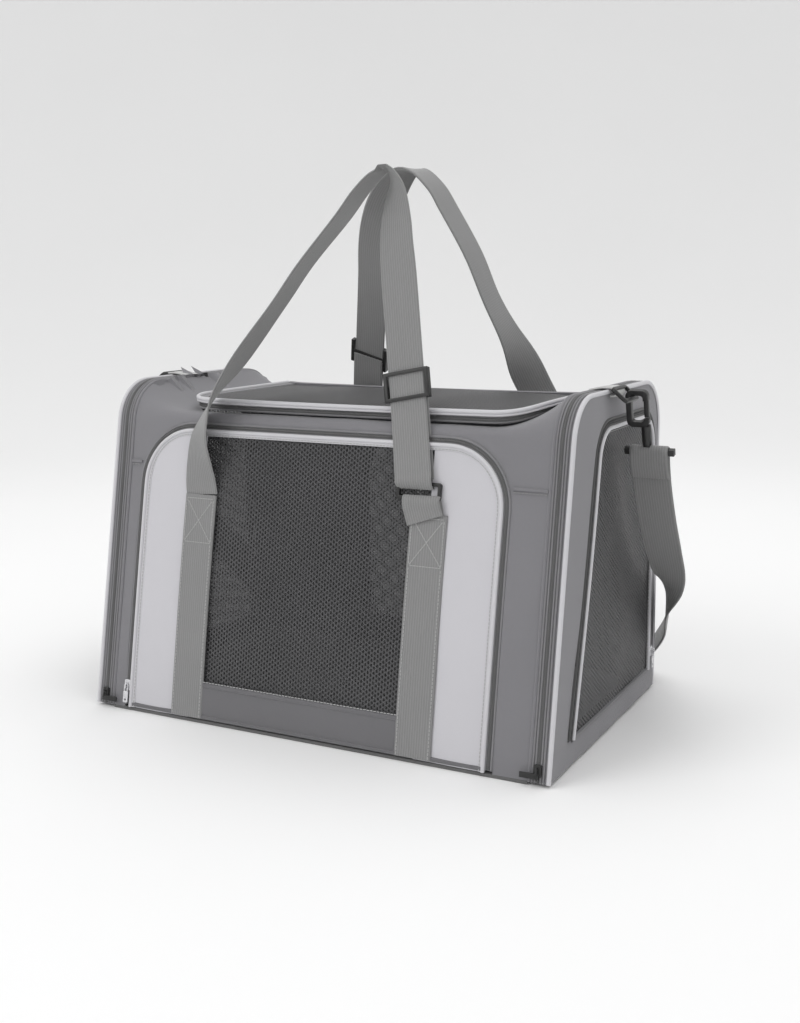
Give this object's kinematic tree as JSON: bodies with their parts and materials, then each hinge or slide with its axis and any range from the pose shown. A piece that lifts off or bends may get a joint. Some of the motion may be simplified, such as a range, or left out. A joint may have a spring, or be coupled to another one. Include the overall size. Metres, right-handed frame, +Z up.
{
  "type": "pet carrier bag",
  "caption": "Soft-sided pet carrier bag with mesh windows, zipped lid, end doors and front panel, two webbing handles and a clip-on shoulder strap.",
  "frame": {"origin": "middle of the footprint, on the surface it stands on", "axes": "+X along the bag towards the end with the visible door, +Y towards the rear, +Z up"},
  "size_m": [0.612, 0.3854, 0.5507],
  "materials": {
    "body_fabric": "woven polyester, matt",
    "light_fabric": "woven polyester, matt",
    "mesh": "open polyester mesh",
    "piping": "covered cord, matt",
    "webbing": "woven nylon webbing",
    "zip_tape": "woven tape with coil teeth",
    "zip_metal": "nickel plated",
    "black_plastic": "moulded, fine texture",
    "spring_wire": "drawn wire",
    "board": "rigid sheet",
    "plush": "short pile plush"
  },
  "bodies": {
    "carrier": {"base_panel": "body_fabric", "base_board": "board", "sleeping_pad": "plush", "front_wall": "body_fabric", "rear_wall": "body_fabric", "rear_window": "mesh", "rear_straps": "webbing", "top_frame": "body_fabric", "right_rim": "body_fabric", "left_rim": "body_fabric", "right_rim_piping": "piping", "left_rim_piping": "piping", "right_end_panel": "body_fabric", "left_end_panel": "body_fabric", "right_rim_zip": "zip_tape", "left_rim_zip": "zip_tape", "right_hoop": "spring_wire", "left_hoop": "spring_wire", "front_zip": "zip_tape", "lid_zip": "zip_tape", "right_door_zip": "zip_tape", "left_door_zip": "zip_tape", "right_ring_tab": "light_fabric", "left_ring_tab": "light_fabric", "right_d_ring": "black_plastic", "left_d_ring": "black_plastic", "right_hook": "black_plastic", "left_hook": "black_plastic", "shoulder_strap": "webbing"},
    "front_panel": {"front_side_panels": "light_fabric", "front_window": "mesh", "front_band": "body_fabric", "front_piping": "piping", "front_straps": "webbing"},
    "front_handle": {"front_handle": "webbing", "front_ring": "black_plastic"},
    "front_slider": {"front_slider": "black_plastic"},
    "rear_handle": {"rear_handle": "webbing", "rear_ring": "black_plastic"},
    "rear_slider": {"rear_slider": "black_plastic"},
    "lid": {"lid_panel": "mesh", "lid_piping": "piping"},
    "right_door": {"right_door_panel": "mesh", "right_door_piping": "piping"},
    "left_door": {"left_door_panel": "mesh", "left_door_piping": "piping"},
    "front_zip_slider": {"front_zip_slider": "zip_metal"},
    "front_zip_pull": {"front_zip_pull": "zip_metal"},
    "lid_zip_slider": {"lid_zip_slider": "zip_metal"},
    "lid_zip_pull": {"lid_zip_pull": "zip_metal"},
    "right_door_slider": {"right_door_slider": "zip_metal"},
    "right_door_pull": {"right_door_pull": "zip_metal"},
    "left_door_slider": {"left_door_slider": "zip_metal"},
    "left_door_pull": {"left_door_pull": "zip_metal"},
    "right_rim_slider": {"right_rim_slider": "black_plastic"},
    "left_rim_slider": {"left_rim_slider": "black_plastic"},
    "right_gate": {"right_gate": "black_plastic"},
    "left_gate": {"left_gate": "black_plastic"}
  },
  "joints": [
    {"name": "front_panel_hinge", "type": "hinge", "parent": "carrier", "child": "front_panel", "pos_m": [0, -0.15174, 0.00364], "axis": [1, 0, 0], "range_deg": [0, 85]},
    {"name": "front_handle_swing", "type": "hinge", "parent": "front_panel", "child": "front_handle", "pos_m": [0, -0.11463, 0.22639], "axis": [-1, 0, 0], "range_deg": [-100, 0]},
    {"name": "front_slider_slide", "type": "slide", "parent": "front_handle", "child": "front_slider", "axis": [-0.1848, 0.2113, 0.9598], "range_m": [-0.01, 0.07]},
    {"name": "rear_handle_swing", "type": "hinge", "parent": "carrier", "child": "rear_handle", "pos_m": [0, 0.1554, 0.2295], "axis": [1, 0, 0], "range_deg": [-100, 0]},
    {"name": "rear_slider_slide", "type": "slide", "parent": "rear_handle", "child": "rear_slider", "axis": [0.2652, -0.3789, 0.8866], "range_m": [-0.012, 0.07]},
    {"name": "lid_hinge", "type": "hinge", "parent": "carrier", "child": "lid", "pos_m": [0, 0.1183, 0.3158], "axis": [-1, 0, 0], "range_deg": [0, 60]},
    {"name": "right_door_hinge", "type": "hinge", "parent": "carrier", "child": "right_door", "pos_m": [0.25, 0, 0.0263], "axis": [0, -1, 0], "range_deg": [0, 85]},
    {"name": "left_door_hinge", "type": "hinge", "parent": "carrier", "child": "left_door", "pos_m": [-0.25, 0, 0.0263], "axis": [0, -1, 0], "range_deg": [-85, 0]},
    {"name": "front_zip_slide", "type": "slide", "parent": "carrier", "child": "front_zip_slider", "axis": [0, 0.1774, 0.9841], "range_m": [0, 0.2]},
    {"name": "front_zip_pull_swing", "type": "hinge", "parent": "front_zip_slider", "child": "front_zip_pull", "pos_m": [-0.2135, -0.15227, 0.02639], "axis": [-1, 0, 0], "range_deg": [0, 150]},
    {"name": "lid_zip_slide", "type": "slide", "parent": "carrier", "child": "lid_zip_slider", "axis": [0, -1, 0], "range_m": [0, 0.11]},
    {"name": "lid_zip_pull_swing", "type": "hinge", "parent": "lid_zip_slider", "child": "lid_zip_pull", "pos_m": [0.21545, 0.086, 0.3105], "axis": [0, 0, -1], "range_deg": [0, 45]},
    {"name": "right_door_zip_slide", "type": "slide", "parent": "carrier", "child": "right_door_slider", "axis": [0, 0, 1], "range_m": [0, 0.18]},
    {"name": "right_door_pull_swing", "type": "hinge", "parent": "right_door_slider", "child": "right_door_pull", "pos_m": [0.25655, 0.1345, 0.046], "axis": [0, -1, 0], "range_deg": [0, 150]},
    {"name": "left_door_zip_slide", "type": "slide", "parent": "carrier", "child": "left_door_slider", "axis": [0, 0, 1], "range_m": [0, 0.18]},
    {"name": "left_door_pull_swing", "type": "hinge", "parent": "left_door_slider", "child": "left_door_pull", "pos_m": [-0.25655, 0.1345, 0.046], "axis": [0, 1, 0], "range_deg": [0, 150]},
    {"name": "right_rim_zip_slide", "type": "slide", "parent": "carrier", "child": "right_rim_slider", "axis": [0, 0.1774, 0.9841], "range_m": [0, 0.2]},
    {"name": "left_rim_zip_slide", "type": "slide", "parent": "carrier", "child": "left_rim_slider", "axis": [0, 0.1774, 0.9841], "range_m": [0, 0.2]},
    {"name": "right_gate_hinge", "type": "hinge", "parent": "carrier", "child": "right_gate", "pos_m": [0.2816, 0.01369, 0.31075], "axis": [0, -0.9659, -0.2588], "range_deg": [0, 25], "stiffness_Nm_per_rad": 0.02, "springref_deg": -17.19},
    {"name": "left_gate_hinge", "type": "hinge", "parent": "carrier", "child": "left_gate", "pos_m": [-0.2816, 0.01369, 0.31075], "axis": [0, 0.9659, 0.2588], "range_deg": [0, 25], "stiffness_Nm_per_rad": 0.02, "springref_deg": -17.19}
  ]
}
